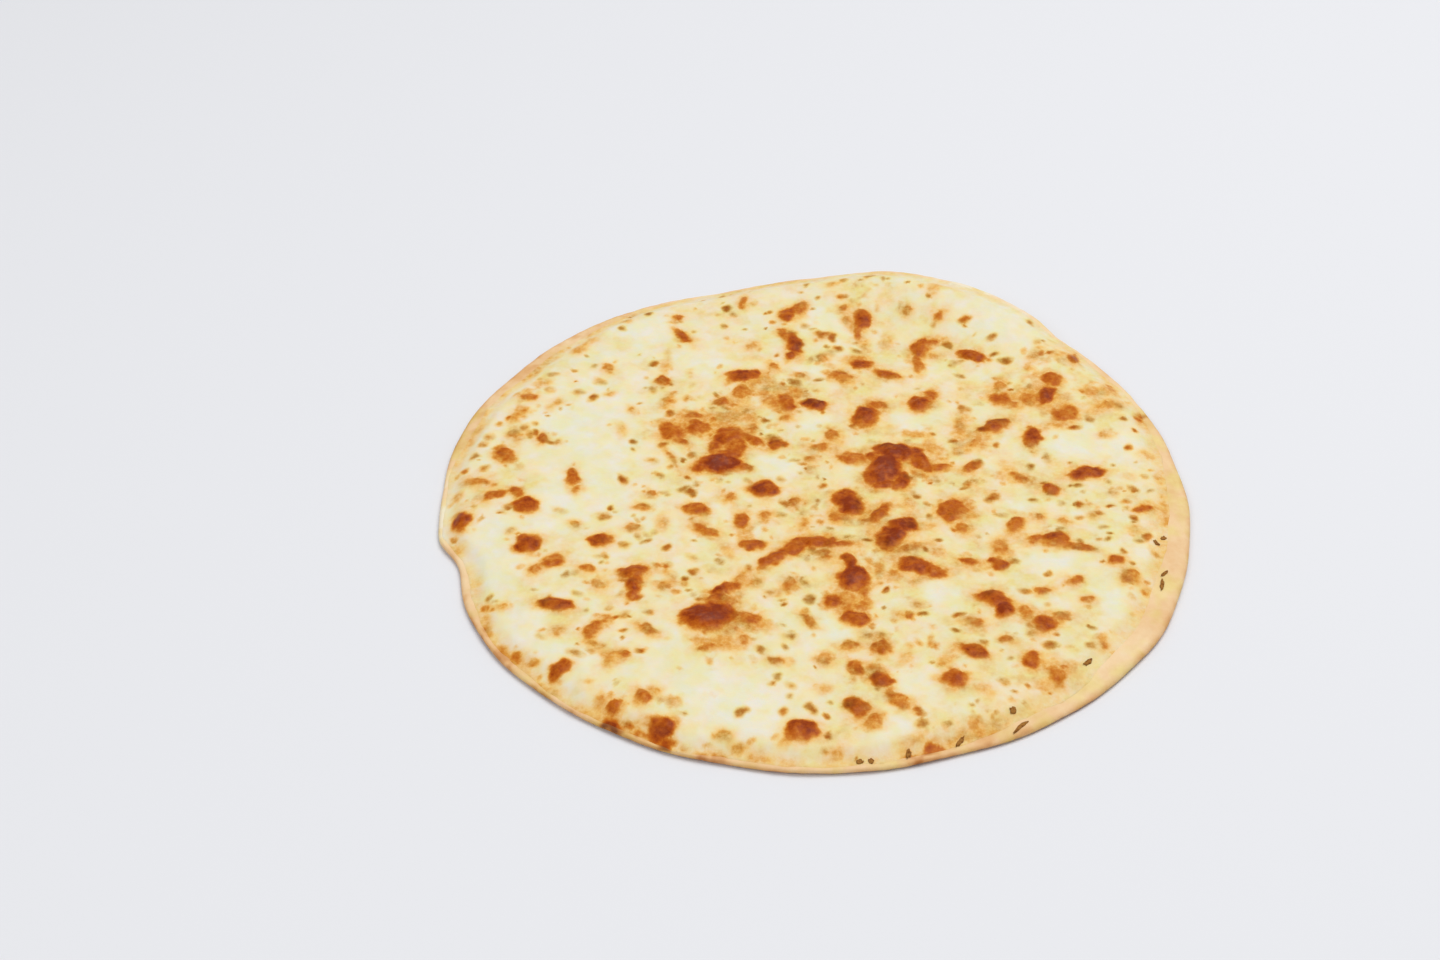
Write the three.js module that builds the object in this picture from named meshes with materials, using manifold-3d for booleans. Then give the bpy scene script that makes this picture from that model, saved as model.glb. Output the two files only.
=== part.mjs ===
// Thin-crust cheese pizza: a round dough base with a low bare rim and, over it, a layer of melted
// cheese that has blistered in the oven, with a few flecks of dried herb.
// Millimetres, +Z up. The underside rests on z = 0, and the origin is under the middle of the outline.
// Seen from above, +X is to the right and +Y is the far side, where the dough has puffed up.

import * as THREE from "three";
import { mergeVertices } from "three/addons/utils/BufferGeometryUtils.js";
import Module from "manifold-3d";

const wasm = await Module();
wasm.setup();

// Driving dimensions of the dough
const PIZZA_RADIUS = 143.4;
const DOUGH_THICKNESS = 3.6;
const EDGE_DROP = 1.2;
const EDGE_DROP_WIDTH = 16;
const RIM_RISE = 1.4;
const RIM_FULL_WIDTH = 9;
const RIM_CREST_INSET = 6;
const RIM_HALF_WIDTH = 5;
const SHOULDER_WIDTH = 3;
const SHOULDER_SHARE = 0.6;
const WAIST_SHARE = 0.45;
const UNDER_CURVE_WIDTH = 10;

// The part of the rim that has puffed up, on the far side: angle and half width in degrees, rise of the
// top, reach of the rise towards the middle, and how far the underside lifts with it
const PUFF = { at: 67, halfWidth: 24, rise: 9.5, reach: 52, lift: 3 };

// Local swellings and dents of the outline: middle and half width in degrees, and size
const OUTLINE_LOBES = [
  { at: 46, halfWidth: 4, rise: -2.6 },
  { at: 67, halfWidth: 22, rise: 3.2 },
  { at: 76, halfWidth: 5, rise: 1.1 },
  { at: 108, halfWidth: 7, rise: -2.6 },
  { at: 128, halfWidth: 16, rise: 1.6 },
  { at: 2, halfWidth: 24, rise: -2.8 },
  { at: 180, halfWidth: 16, rise: -2 },
  { at: 192.5, halfWidth: 3.6, rise: 2.6 },
  { at: 198, halfWidth: 8, rise: -6 },
  { at: 213, halfWidth: 12, rise: -2 },
];
const OUTLINE_WAVES = [
  { count: 7, size: 0.35, turn: 0.4 },
  { count: 13, size: 0.3, turn: 2.1 },
  { count: 23, size: 0.2, turn: 1.3 },
];

// Driving dimensions of the cheese
const CHEESE_THICKNESS = 2.4;
const CHEESE_EDGE_THICKNESS = 0.8;
const CHEESE_EDGE_ROUND = 5;
const LAYER_GAP = 0.3;

// How much dough the cheese leaves bare at the rim, and where it leaves more
const BARE_RIM = 1.6;
const BARE_LOBES = [
  { at: -20, halfWidth: 38, rise: 7.8 },
  { at: 146, halfWidth: 26, rise: 4.6 },
  { at: 60, halfWidth: 13, rise: 3 },
  { at: 208, halfWidth: 14, rise: 1.6 },
];
const BARE_WAVES = [
  { count: 11, size: 0.4, turn: 0.9 },
  { count: 19, size: 0.35, turn: 2.6 },
];

// Gentle unevenness of the whole surface: size, and lengths and turns of its waves along X and Y
const SWELLS = [
  { size: 0.4, lengthX: 21, turnX: 0.6, lengthY: 26, turnY: 1.2 },
  { size: 0.2, lengthX: 13, turnX: 2.2, lengthY: 15, turnY: 0.3 },
];

// The largest browned blisters: x and y of the middle, length, width and turn in degrees
const BLISTERS = [
  [26.5, 12.5, 24, 14, 74],
  [31, 23.5, 17, 11, -12],
  [40, 19.5, 15, 7, -58],
  [-38, -72, 23, 14, 10],
  [-36, 15, 18, 13, 10],
  [-33, 33, 13, 11, 60],
  [-29, 70, 15, 11, 15],
  [-10, 94, 19, 9, 100],
  [-11, 113, 13, 10, 55],
  [19, 109, 15, 10, 95],
  [43, 55, 14, 11, 40],
  [20, 47, 13, 12, 0],
  [0, 55, 12, 9, -30],
  [103, 14, 19, 9, 12],
  [70, 42, 16, 9, 28],
  [84, 36, 14, 9, 90],
  [92, 63, 13, 9, 70],
  [-18, 1, 13, 12, -35],
  [13, -6, 15, 11, -60],
  [30, -23, 19, 12, 60],
  [-10, -36, 22, 8, 46],
  [15, -48, 15, 13, 90],
  [39, -42, 18, 9, -20],
  [51, -10, 14, 10, 90],
  [66, -62, 15, 11, -45],
  [82, -72, 12, 11, 0],
  [89, -26, 13, 12, 0],
  [-64, -54, 17, 10, 85],
  [-91, -67, 17, 10, -12],
  [-104, -34, 13, 13, 0],
  [-108, -11, 12, 11, 0],
  [-131, -22, 13, 10, 80],
  [-51, -127, 14, 12, 0],
  [-3, -127, 14, 12, -10],
  [16, -115, 12, 10, -60],
  [50, -102, 12, 10, 0],
];
const BLISTER_RISE_SHARE = 0.1;
const BLISTER_CROWN_SHARE = 0.2;

// Flecks of dried herb near the rim: x and y of the middle, length, width and turn in degrees
const FLECKS = [
  [16.7, -139.7, 2.6, 2, 10],
  [20.5, -139.2, 2.4, 2, -20],
  [33, -135.4, 3.8, 1.8, 85],
  [50.5, -129.4, 5, 1.7, 56],
  [68.9, -115.3, 3, 2.5, 30],
  [71.5, -121.3, 8, 1.6, 46],
  [96, -91.5, 5.6, 1.4, 45],
  [125.8, -48.8, 6, 1.6, 78],
  [127.2, -42.6, 3.6, 1.5, 45],
  [129, -22.8, 2.8, 1.6, 40],
  [126, -26.4, 3, 2, -45],
];
const FLECK_HALF_THICKNESS = 0.6;

// Counts of facets
const CHEESE_RINGS = 30;
const EDGE_POINTS = 6 * CHEESE_RINGS;
const RIM_STEPS = 3;
const SHOULDER_STEPS = 3;
const UNDER_STEPS = 3;
const HIDDEN_RINGS = [
  { share: 0.3, points: EDGE_POINTS / 5 },
  { share: 0.55, points: EDGE_POINTS / 3 },
  { share: 0.7, points: EDGE_POINTS / 2 },
  { share: 0.8, points: EDGE_POINTS / 2 },
  { share: 0.9, points: EDGE_POINTS },
];

const { degToRad, lerp, radToDeg, smoothstep } = THREE.MathUtils;

// A smooth bell over the angle, 1 at its middle
function bell(angle, { at, halfWidth }) {
  const away = ((((radToDeg(angle) - at) % 360) + 540) % 360) - 180;
  return Math.exp(-((away / halfWidth) ** 2));
}

const sumOf = (list, term) => list.reduce((sum, item) => sum + term(item), 0);
const lobes = (angle, list) => sumOf(list, (lobe) => lobe.rise * bell(angle, lobe));
const waves = (angle, list) => sumOf(list, (wave) => wave.size * Math.sin(wave.count * angle + wave.turn));

// The dough's outline and the cheese's, as radii
const doughRadius = (angle) => PIZZA_RADIUS + lobes(angle, OUTLINE_LOBES) + waves(angle, OUTLINE_WAVES);
const bareWidth = (angle) => BARE_RIM + lobes(angle, BARE_LOBES) + waves(angle, BARE_WAVES);
const cheeseRadius = (angle) => doughRadius(angle) - bareWidth(angle);

const swell = (x, y) =>
  sumOf(SWELLS, (s) => s.size * Math.sin(x / s.lengthX + s.turnX) * Math.sin(y / s.lengthY + s.turnY));

// Height of the dough's top, before its outer shoulder rounds off. It thins out towards the edge, and
// where it is bare it has a low rim.
function doughTop(angle, radius) {
  const inset = doughRadius(angle) - radius;
  const thinning = EDGE_DROP * (1 - smoothstep(inset, 0, EDGE_DROP_WIDTH));
  const rimShare = smoothstep(bareWidth(angle), BARE_RIM, RIM_FULL_WIDTH);
  const rim = RIM_RISE * rimShare * Math.exp(-(((inset - RIM_CREST_INSET) / RIM_HALF_WIDTH) ** 2));
  const settled = smoothstep(inset, 0, UNDER_CURVE_WIDTH);
  const uneven = settled * swell(radius * Math.cos(angle), radius * Math.sin(angle));
  const puff = PUFF.rise * bell(angle, PUFF) * (1 - smoothstep(inset, 0, PUFF.reach));
  return DOUGH_THICKNESS - thinning + rim + uneven + puff;
}

// Rise of the cheese at a place where it has blistered
function blisterRise(x, y) {
  const rises = BLISTERS.map(([middleX, middleY, length, width, turn]) => {
    const away = new THREE.Vector2(x - middleX, y - middleY);
    away.rotateAround(new THREE.Vector2(), -degToRad(turn));
    const distance = Math.hypot(away.x / (length / 2), away.y / (width / 2));
    return BLISTER_RISE_SHARE * width * (1 - smoothstep(distance, BLISTER_CROWN_SHARE, 1));
  });
  return Math.max(...rises);
}

// Height of the cheese's top
function cheeseTop(angle, radius) {
  const inset = Math.max(0, cheeseRadius(angle) - radius);
  const fullness = 1 - Math.exp(-inset / CHEESE_EDGE_ROUND);
  const thickness = lerp(CHEESE_EDGE_THICKNESS, CHEESE_THICKNESS, fullness);
  const blister = fullness * blisterRise(radius * Math.cos(angle), radius * Math.sin(angle));
  return doughTop(angle, radius) + LAYER_GAP + thickness + blister;
}

// One ring of points round the middle, from functions of the angle
function ring(points, radiusAt, heightAt) {
  return Array.from({ length: points }, (_, i) => {
    const angle = (2 * Math.PI * i) / points;
    const radius = radiusAt(angle);
    return new THREE.Vector3(radius * Math.cos(angle), radius * Math.sin(angle), heightAt(angle, radius));
  });
}

const pole = (height) => [new THREE.Vector3(0, 0, height)];

function meshGeometry(positions, triangles) {
  const geometry = new THREE.BufferGeometry();
  geometry.setAttribute("position", new THREE.Float32BufferAttribute(positions, 3));
  geometry.setIndex(triangles);
  geometry.computeVertexNormals();
  return geometry;
}

// A closed solid from rings of points, given from the middle of its top, out over the edge and in again
// to the middle of its underside. Rings may differ in their counts, and a pole is a ring of one point.
function ringSolid(rings) {
  const positions = rings.flat().flatMap((point) => point.toArray());
  const triangles = [];
  let start = 0;
  for (let r = 0; r + 1 < rings.length; r++) {
    const [inner, outer] = [rings[r].length, rings[r + 1].length];
    const innerAt = (i) => start + (i % inner);
    const outerAt = (j) => start + inner + (j % outer);
    const innerSteps = inner === 1 ? 0 : inner;
    const outerSteps = outer === 1 ? 0 : outer;
    for (let i = 0, j = 0; i < innerSteps || j < outerSteps; ) {
      const outerIsNext = i === innerSteps || (j < outerSteps && (j + 1) * inner <= (i + 1) * outer);
      if (outerIsNext) triangles.push(innerAt(i), outerAt(j), outerAt(++j));
      else triangles.push(innerAt(i), outerAt(j), innerAt(++i));
    }
    start += inner;
  }
  return meshGeometry(positions, triangles);
}

// The rings under the cheese, which the dough's top and the cheese's underside share
function hiddenRings(gap) {
  const height = (angle, radius) => doughTop(angle, radius) + gap;
  const inner = HIDDEN_RINGS.map(({ share, points }) => ring(points, (a) => share * cheeseRadius(a), height));
  return [pole(doughTop(0, 0) + gap), ...inner, ring(EDGE_POINTS, cheeseRadius, height)];
}

const steps = (count) => Array.from({ length: count }, (_, i) => (i + 1) / count);

// The dough: bare rim, rounded shoulder and an underside that curves up to the outline
function doughGeometry() {
  const shoulderStart = (a) => doughRadius(a) - Math.min(SHOULDER_WIDTH, SHOULDER_SHARE * bareWidth(a));
  const waist = (a) => lerp(PUFF.lift * bell(a, PUFF), doughTop(a, doughRadius(a)), WAIST_SHARE);

  const rim = steps(RIM_STEPS).map((share) =>
    ring(EDGE_POINTS, (a) => lerp(cheeseRadius(a), shoulderStart(a), share), doughTop),
  );
  const shoulder = steps(SHOULDER_STEPS).map((share) => {
    const turn = (share * Math.PI) / 2;
    const radius = (a) => lerp(shoulderStart(a), doughRadius(a), Math.sin(turn));
    const height = (a) => lerp(waist(a), doughTop(a, shoulderStart(a)), Math.cos(turn));
    return ring(EDGE_POINTS, radius, height);
  });
  const under = steps(UNDER_STEPS).map((share) => {
    const turn = (share * Math.PI) / 2;
    const radius = (a) => doughRadius(a) - UNDER_CURVE_WIDTH * (1 - Math.cos(turn));
    const height = (a) => waist(a) * (1 - Math.sin(turn));
    return ring(EDGE_POINTS, radius, height);
  });
  return ringSolid([...hiddenRings(0), ...rim, ...shoulder, ...under, pole(0)]);
}

// The cheese: an even net of facets on top, and an underside that follows the dough
function cheeseGeometry() {
  const top = Array.from({ length: CHEESE_RINGS }, (_, i) => {
    const share = (i + 1) / CHEESE_RINGS;
    return ring(6 * (i + 1), (a) => share * cheeseRadius(a), cheeseTop);
  });
  return ringSolid([pole(cheeseTop(0, 0)), ...top, ...hiddenRings(LAYER_GAP).reverse()]);
}

// One fleck of herb, half sunk in the surface it lies on
function fleckGeometry([x, y, length, width, turn], topAt) {
  const geometry = new THREE.IcosahedronGeometry(1);
  geometry.scale(length / 2, width / 2, FLECK_HALF_THICKNESS);
  geometry.rotateZ(degToRad(turn));
  return geometry.translate(x, y, topAt(Math.atan2(y, x), Math.hypot(x, y)));
}

function manifoldOf(geometry) {
  const bare = new THREE.BufferGeometry();
  bare.setAttribute("position", geometry.getAttribute("position"));
  bare.setIndex(geometry.getIndex());
  const merged = mergeVertices(bare);
  const vertProperties = new Float32Array(merged.getAttribute("position").array);
  const triVerts = new Uint32Array(merged.getIndex().array);
  return new wasm.Manifold(new wasm.Mesh({ numProp: 3, vertProperties, triVerts }));
}

// A layer with the flecks that lie on it joined on
function withFlecks(layer, flecks, topAt) {
  const solids = flecks.map((fleck) => manifoldOf(fleckGeometry(fleck, topAt)));
  const { vertProperties, triVerts } = wasm.Manifold.union([manifoldOf(layer), ...solids]).getMesh();
  return meshGeometry(Array.from(vertProperties), Array.from(triVerts));
}

function subPart(name, geometry, colour, roughness) {
  const material = new THREE.MeshStandardMaterial({ color: colour, roughness, metalness: 0 });
  const mesh = new THREE.Mesh(geometry, material);
  mesh.name = name;
  return mesh;
}

const onCheese = ([x, y]) => Math.hypot(x, y) < cheeseRadius(Math.atan2(y, x));
const crust = withFlecks(doughGeometry(), FLECKS.filter((fleck) => !onCheese(fleck)), doughTop);
const cheese = withFlecks(cheeseGeometry(), FLECKS.filter(onCheese), cheeseTop);

const pizza = new THREE.Group();
pizza.add(subPart("crust", crust, 0xe9c692, 0.8));
pizza.add(subPart("cheese", cheese, 0xf0e2bd, 0.45));

export default pizza;
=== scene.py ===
# Looks of a thin-crust cheese pizza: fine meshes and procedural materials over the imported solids.
# Blender works in metres and +Z up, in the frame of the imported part. Sizes and places given here are in
# millimetres, and angles are in degrees, counted from +X towards +Y.

import math

import bpy
import numpy as np
from mathutils import Matrix, Vector
from mathutils.bvhtree import BVHTree


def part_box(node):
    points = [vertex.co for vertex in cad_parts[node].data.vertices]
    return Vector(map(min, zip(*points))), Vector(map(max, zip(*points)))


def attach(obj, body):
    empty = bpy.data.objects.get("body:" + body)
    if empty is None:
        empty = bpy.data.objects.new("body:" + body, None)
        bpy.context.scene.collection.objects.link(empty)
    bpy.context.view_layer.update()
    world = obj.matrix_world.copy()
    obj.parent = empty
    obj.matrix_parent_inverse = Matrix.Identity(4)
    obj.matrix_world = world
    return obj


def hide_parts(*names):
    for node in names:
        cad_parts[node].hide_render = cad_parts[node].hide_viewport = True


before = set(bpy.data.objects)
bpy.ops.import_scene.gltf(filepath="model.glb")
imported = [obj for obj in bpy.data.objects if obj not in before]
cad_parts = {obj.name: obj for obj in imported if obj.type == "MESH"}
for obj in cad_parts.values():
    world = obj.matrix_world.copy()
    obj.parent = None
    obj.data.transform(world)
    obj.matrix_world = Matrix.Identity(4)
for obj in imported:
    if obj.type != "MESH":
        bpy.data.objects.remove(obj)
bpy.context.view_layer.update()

MM = 0.001
SEED = 7

# Camera: the floor point in the middle of the picture, and where it is seen from
CAMERA_AIM = (-35.8, 12.6, 0)
CAMERA_DISTANCE = 920
CAMERA_ELEVATION = 38.64
CAMERA_AZIMUTH = -2.78
CAMERA_ROLL = 0.75
CAMERA_LENS = 60
CAMERA_SENSOR = 36

# Browned places on the cheese, mostly from the far side to the near side: x and y of the middle, length,
# width, turn, and how brown (1 is darkest)
BLISTERS = [
    (-11.7, 113.3, 9, 7, 65, 0.82), (-7.5, 117, 10, 7, 60, 0.68), (-9, 93.5, 17, 6.5, 97, 0.85),
    (-10.5, 86, 5, 5, 0, 0.95), (-13, 100, 8, 5, 120, 0.7), (-30, 124, 8, 4, 85, 0.6),
    (18.7, 110, 13, 7.5, 95, 0.86), (17.5, 103, 10, 5, 85, 0.66), (11, 117, 5, 4, 0, 0.6),
    (3.5, 100.5, 6, 4.5, 0, 0.5), (3.5, 86, 6, 6, 90, 0.5), (-26, 92, 5, 4.5, 90, 0.52),
    (-17, 78.5, 6, 4, -40, 0.58), (18.5, 81, 11, 6, -25, 0.84), (29.2, 73.8, 10, 7, -30, 0.84),
    (10, 73.5, 13, 8, -50, 0.62), (42.3, 91.3, 13, 7.5, 65, 0.82), (46.5, 95, 9, 5, 25, 0.76),
    (40.5, 82, 13, 5.5, 95, 0.64), (41, 54, 11, 10, 30, 0.9), (46, 59.5, 8, 6, 60, 0.74),
    (50.3, 109.3, 6, 5, 90, 0.6), (37, 113.5, 7, 4, 90, 0.5), (-28.5, 71, 15, 9, 18, 0.94),
    (-57.5, 112, 5, 4, -40, 0.66), (-54.4, 99.2, 12, 4.6, -56, 0.82), (-61, 67.5, 7, 6, 90, 0.78),
    (-83.5, 76, 6, 4, -45, 0.54), (-97, 89, 6, 5, 70, 0.48), (-112.5, 55, 7, 6, 0, 0.66),
    (62.5, 86.3, 13, 7, -28, 0.82), (88.5, 85.5, 6, 3, 60, 0.45), (103.7, 86, 9, 5, 95, 0.68),
    (93.5, 71.3, 8, 8, -60, 0.85), (91.5, 61.5, 12, 6.5, 60, 0.88), (85, 60, 9, 9, 0, 0.62),
    (73.5, 59, 10, 9, -45, 0.74), (73, 66.3, 8, 6, 80, 0.55), (98, 50, 11, 10, 0, 0.78),
    (108, 65, 6, 5, 0, 0.48), (115.5, 55.3, 13, 5, 25, 0.56), (6, 133, 4, 3, 0, 0.45),
    (-108, 66, 5, 4, 0, 0.4), (117, 68, 7, 4, 90, 0.5), (78, 56, 5, 4, 0, 0.7), (29, 96, 6, 5, 90, 0.4),
    (48, 87, 6, 4, 0, 0.42), (-6, 73, 5, 4, 0, 0.5), (134, 52, 8, 4.5, 80, 0.85),
    (48.7, 125.5, 7, 3, 80, 0.34), (20, 94, 6, 3.5, 90, 0.42), (-20.5, 71, 6, 5, 90, 0.5),
    (-81.5, 59, 4, 3, 0, 0.36), (-78.5, 110.5, 4, 3, 0, 0.5), (-93, 95, 5, 3.5, 60, 0.42),
    (96, 43.2, 9, 5, 3, 0.46), (17, 85.3, 8, 6, 0, 0.46), (12.9, 109, 7, 4, -70, 0.46),
    (-0.5, 53, 12, 7, -30, 0.93), (-11.5, 54.5, 14, 7.5, 92, 0.8), (-16.5, 55, 10, 6, 126, 0.6),
    (-37, 54, 7, 6, 0, 0.62), (-28, 60, 10, 8, 60, 0.6), (25, 53.5, 10, 6, -15, 0.64),
    (20, 45.5, 14, 11.5, 80, 0.88), (-55, 34.8, 13.5, 10.5, -30, 0.73), (-45, 37, 10, 10, 0, 0.76),
    (-32.5, 32.5, 13, 11, 30, 0.86), (-24, 30, 12, 5, -45, 0.75), (-30.5, 24, 16, 9, 80, 0.8),
    (-33, 22, 9, 5, 0, 0.88), (-36, 15.2, 18, 12, 10, 1), (-42, 13, 9, 6, 30, 0.88),
    (-27, 13, 8, 5, -40, 0.74), (-14, 27, 9, 8, 0, 0.8), (-18.7, -0.7, 12, 10, -35, 0.95),
    (27, 12.5, 23, 14.5, 72, 0.93), (31, 23.5, 17, 11, -12, 1), (40.5, 19, 18, 8, -60, 0.9),
    (48, 15, 9, 4, 5, 0.68), (28.5, 2.7, 12, 6, 5, 0.84), (34, 6, 11, 6, 80, 0.86),
    (14.5, 19.3, 14, 7, -8, 0.72), (7, 33, 9, 6, 100, 0.6), (70, 41, 15, 7, 28, 0.86),
    (84.5, 34, 14, 8, 85, 0.86), (57, 41, 14, 6, 92, 0.46), (62, 31, 9, 4, 48, 0.55),
    (60, 14.5, 8, 6, 70, 0.66), (78, 10.5, 10, 5, -40, 0.6), (89.5, 2.5, 8.5, 6.5, -20, 0.82),
    (103.4, 13, 16, 5.5, 12, 0.93), (112.5, 37, 6, 4.5, 0, 0.48), (122.5, -8, 8.5, 5, 20, 0.74),
    (52, -11.2, 13, 10.5, 70, 0.9), (75, -19, 12, 7, 70, 0.68), (84.5, -13.5, 5, 5, 0, 0.52),
    (89.5, -27, 11, 10, 0, 0.83), (82, -26.5, 7, 4.5, 10, 0.66), (98, -31, 13, 5, -10, 0.7),
    (55.5, -22, 7, 6, 90, 0.62), (13.5, -8, 16, 11.5, -60, 0.95), (25, -13.5, 14, 6, 55, 0.76),
    (-7, -8, 6, 5, 90, 0.62), (-17, -15.5, 6, 5, 60, 0.58), (-27, -19.5, 10, 6, 95, 0.74),
    (-31.5, -6, 6, 5, 90, 0.62), (-43.5, -12.5, 10.5, 8, -30, 0.82), (-40, -25, 12, 6, -40, 0.66),
    (-64.5, -12, 6, 4, 0, 0.64), (-67, -25, 6, 5, 0, 0.5), (-91.3, 4, 12, 6, 97, 0.74),
    (-119, 17, 10, 9, 110, 0.74), (-105.5, 28, 7, 5, 90, 0.68), (-127, 1, 12, 5, -15, 0.55),
    (-119.5, -7, 10.5, 4.7, 20, 0.75), (-107.6, -13, 9, 8.5, 60, 0.93), (-112, -5.5, 9, 5, -45, 0.74),
    (-131, -22, 11, 7, 80, 0.85), (-54.5, 18, 14, 2.4, -65, 0.52), (21, -18, 6, 3, 0, 0.6),
    (-112, -28, 4, 4, 0, 0.4), (131.5, -4, 6, 2.5, 85, 0.46), (131.5, -13, 6, 2.5, 98, 0.44),
    (119.8, -53, 4, 2.5, 85, 0.42), (-47, 44.5, 8, 5, 0, 0.66), (-24, 38, 7, 4, 90, 0.6),
    (-26.5, 47, 6, 4, 90, 0.5), (-11, 44, 4.5, 4, 0, 0.6), (-58.5, 54, 8, 4, 90, 0.5),
    (9.5, -15.5, 8, 7, 0, 0.6), (36, -9, 8, 4, 85, 0.42), (58.5, -13.5, 4, 3, 0, 0.45),
    (57, -6, 3.5, 3.5, 0, 0.45), (42, -20.5, 5, 3, 20, 0.42), (-3, -20, 6, 3.5, 90, 0.5),
    (-56, -21, 8, 4, 80, 0.38), (128, 26, 4, 3, 0, 0.42), (131.5, 13, 7, 2.5, 95, 0.44),
    (105, -12, 4.5, 3.5, 0, 0.42), (93.5, -16, 5, 3.5, -50, 0.52), (118.5, -20, 4, 3, 0, 0.42),
    (101, -6.5, 3.5, 3, 0, 0.36), (-135.3, -5.4, 4.5, 3.5, 80, 0.44), (-117.5, 42.5, 9, 4, 85, 0.5),
    (-116.5, 30, 8, 4.5, -70, 0.58), (-99, 26, 4, 3, 60, 0.45), (-102.5, 51, 7, 4, 60, 0.42),
    (-75, 35, 7, 3, 100, 0.38), (-71.5, 48.5, 5, 3, -60, 0.5), (-38, 25, 13, 7, 90, 0.68),
    (1.5, 26, 8, 4.5, 0, 0.6), (-1.5, 18.5, 5, 4, 0, 0.55), (-2, 11.5, 4, 4, 0, 0.5),
    (-52, 28.5, 8, 3.5, -20, 0.7), (-89.5, -3.5, 5, 4, 80, 0.55), (-61, -4, 4, 4, 0, 0.5),
    (37.7, 22.6, 12, 5.5, 40, 1), (-22, -32.3, 11, 6, 0, 0.8), (-14, -40.5, 17, 6.5, 46, 0.86),
    (-6.5, -33.5, 16, 7, 42, 0.88), (1.5, -30, 14, 6, 10, 0.86), (9, -31.7, 13, 4, 3, 0.82),
    (33, -21.3, 13, 9.5, 30, 0.95), (28, -28.5, 15, 11, 75, 0.94), (37, -43.3, 14, 8.7, -25, 0.88),
    (44.3, -45.8, 11, 5, -22, 0.82), (15, -50.5, 13, 13, 0, 0.95), (13.4, -42.4, 11, 5.4, 95, 0.9),
    (57.5, -41, 8, 5, -30, 0.8), (67.3, -42, 7.5, 7, 0, 0.86), (68.5, -32, 11, 6, 92, 0.54),
    (110.5, -38, 7, 6, 0, 0.7), (115, -46.5, 9, 7, 45, 0.62), (-104.3, -34.6, 11, 10, 30, 0.85),
    (-78, -31.6, 9, 8.8, 0, 0.86), (22.2, 20.6, 7.5, 4.5, 75, 0.8), (-88, -23, 5, 4, 90, 0.54),
    (-94, -44, 11, 7, 30, 0.69), (-81.3, -48, 8, 4.7, -10, 0.76), (-91.5, -67.5, 15, 7, -12, 0.9),
    (-64, -57, 15, 7.5, 87, 0.84), (-65.3, -49.5, 12, 6.5, 10, 0.88), (-77, -56, 6, 5, 90, 0.56),
    (-76.3, -80.8, 10.5, 5.5, 62, 0.68), (-58, -80.5, 11, 5, -30, 0.6), (-89.5, -81.5, 6, 4, 45, 0.48),
    (-65.5, -93.5, 5, 5, 0, 0.66), (-69, -95.5, 9, 7, 60, 0.46), (-86.5, -100.8, 10, 6, 62, 0.84),
    (-57.5, -114, 9, 6, -60, 0.72), (-66.5, -117, 6, 6, 0, 0.7), (-102.5, -93.5, 6, 5, -50, 0.58),
    (-50.5, -128.5, 11, 9, 80, 0.94), (-36.5, -73, 22, 13, 8, 0.97), (-30.3, -58, 13, 6, 28, 0.84),
    (-35, -63.8, 10, 6.5, 60, 0.76), (-24, -73.5, 13, 6.5, -8, 0.66), (-36, -89, 8, 4, 20, 0.58),
    (-23.5, -85, 5, 4, 90, 0.58), (-8, -54, 6, 5, 90, 0.56), (-1, -74, 9, 4.5, -50, 0.7),
    (-12, -94.5, 7, 4, -10, 0.58), (8, -63.5, 9, 7, 85, 0.76), (17.5, -65, 6, 5, 0, 0.6),
    (15.3, -71.6, 10.5, 7.8, -5, 0.92), (13.5, -86, 9, 4.5, 5, 0.64), (24.5, -87, 9, 7, 80, 0.72),
    (4, -93.5, 6, 5, -50, 0.54), (16, -98, 9, 6, -50, 0.72), (24, -103.5, 9, 7.5, -45, 0.84),
    (16, -117.6, 11, 8.5, -60, 0.82), (22.5, -124, 7, 6, 85, 0.58), (30, -113, 12, 6, -50, 0.64),
    (49.5, -102, 10, 8.5, 0, 0.82), (-2.3, -128.8, 12, 9.2, 12, 0.9), (64, -60.5, 14, 8, -10, 0.83),
    (68.5, -67, 9, 7, 80, 0.92), (82, -74, 10, 9, 70, 0.86), (76, -68, 8, 5, -60, 0.6),
    (88, -69, 8, 5, 25, 0.6), (82, -56, 7, 4.5, 10, 0.68), (98.5, -59.5, 5, 4, 0, 0.6),
    (57.3, -73.3, 8, 5, -40, 0.6), (68.5, -82, 5, 4, 0, 0.64), (56, -88, 11, 7, -30, 0.85),
    (75.5, -92.5, 9, 7, 80, 0.8), (84, -99, 10, 7, 90, 0.6), (41.5, -135.7, 9, 8, 80, 0.82),
    (102, -82, 5, 3, 70, 0.52), (-72.5, -74, 4, 3, 0, 0.6), (-72, -115, 6, 3, 90, 0.5),
    (-116.5, -68, 4, 4, 0, 0.55), (-110, -69, 4, 4, 0, 0.42), (-96.5, -96.5, 5, 4, 0, 0.52),
    (5.5, -40, 5, 4, 0, 0.55), (-15, -59, 3.5, 3, 0, 0.48), (25, -81, 4, 4, 0, 0.5),
    (4.5, -108, 4, 4, 0, 0.4), (33.5, -91, 6, 5, 90, 0.4), (47, -93, 4, 4, 0, 0.52),
    (33.3, -136.8, 5, 2.6, 88, 0.58), (-28, -131, 5, 4, 0, 0.46), (-23, -135.7, 5, 4, 0, 0.48),
    (8.5, -138, 5, 4, 0, 0.45), (52, -133, 6, 4, 0, 0.6), (60, -107, 5, 4, 90, 0.42),
    (30.5, -48, 6, 5, 60, 0.5), (36.5, -33, 14, 5, 27, 0.55), (37.5, -51.5, 4, 2.5, 20, 0.55),
    (46, -35, 4, 4, 0, 0.42), (38, -64, 4, 3.5, 90, 0.45), (31, -70, 4, 3, 0, 0.42),
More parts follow.
